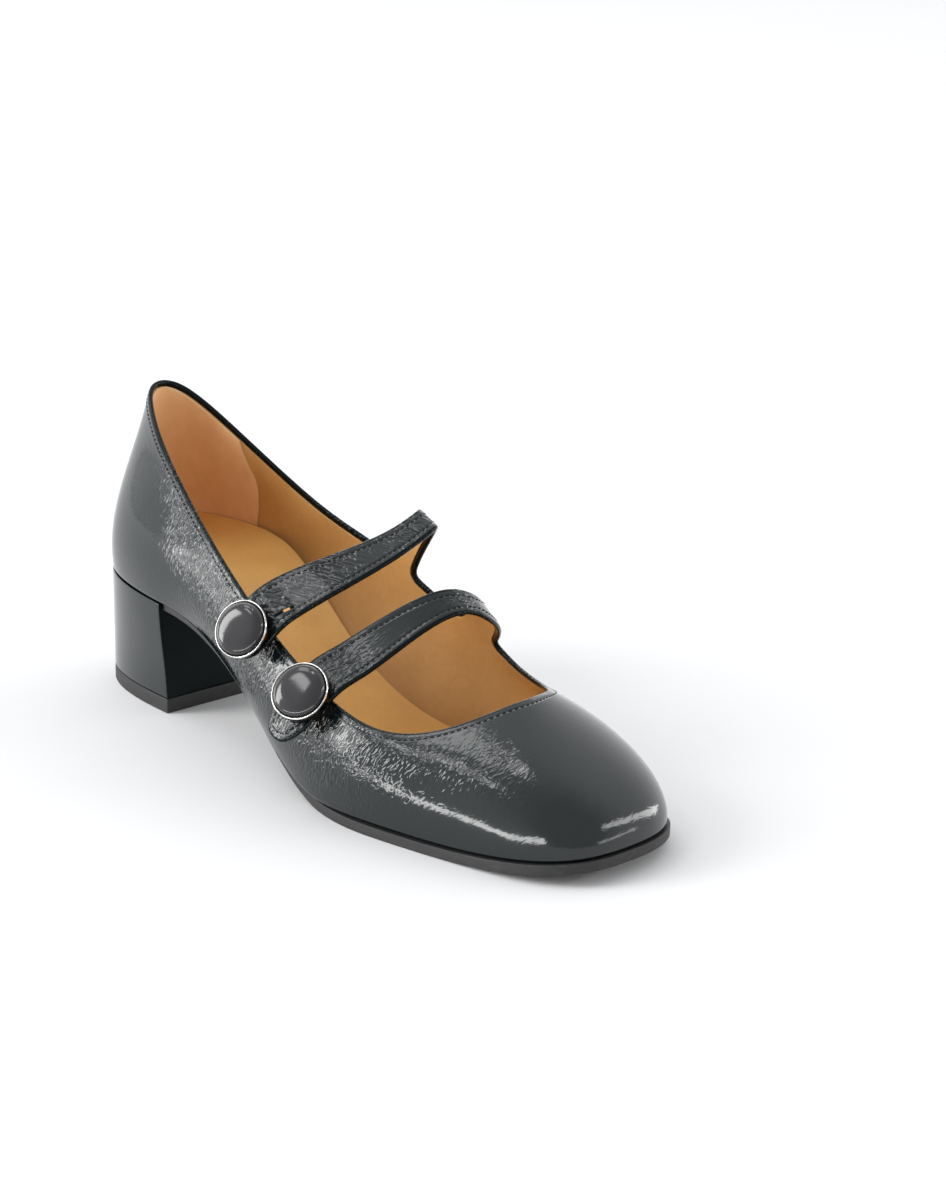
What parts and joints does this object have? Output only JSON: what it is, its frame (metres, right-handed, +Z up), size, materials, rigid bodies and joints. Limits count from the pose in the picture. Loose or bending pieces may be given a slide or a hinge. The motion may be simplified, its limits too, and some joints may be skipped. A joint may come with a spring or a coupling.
{
  "type": "pump",
  "caption": "Right-foot block-heel pump, hollow upper with low-cut throat and two instep straps, each held by a domed button at the outer side.",
  "frame": {"origin": "middle of the shoe's box, on the floor that the heel and the forefoot stand on", "axes": "+X from the heel to the toe, +Y to the inner side of the foot (big toe), +Z up"},
  "size_m": [0.2472, 0.0902, 0.107],
  "materials": {
    "patent_leather": "crinkled patent, high gloss",
    "heel_leather": "smooth patent over a rigid block",
    "sock_leather": "smooth matt",
    "sole_rubber": "satin",
    "heel_rubber": "matt",
    "button_metal": "polished",
    "button_dome": "satin gloss"
  },
  "bodies": {
    "root": {"upper": "patent_leather", "outsole": "sole_rubber", "insole": "sock_leather", "heel_block": "heel_leather", "top_piece": "heel_rubber", "rear_button_cup": "button_metal", "rear_button_cap": "button_dome", "front_button_cup": "button_metal", "front_button_cap": "button_dome"}
  },
  "joints": []
}
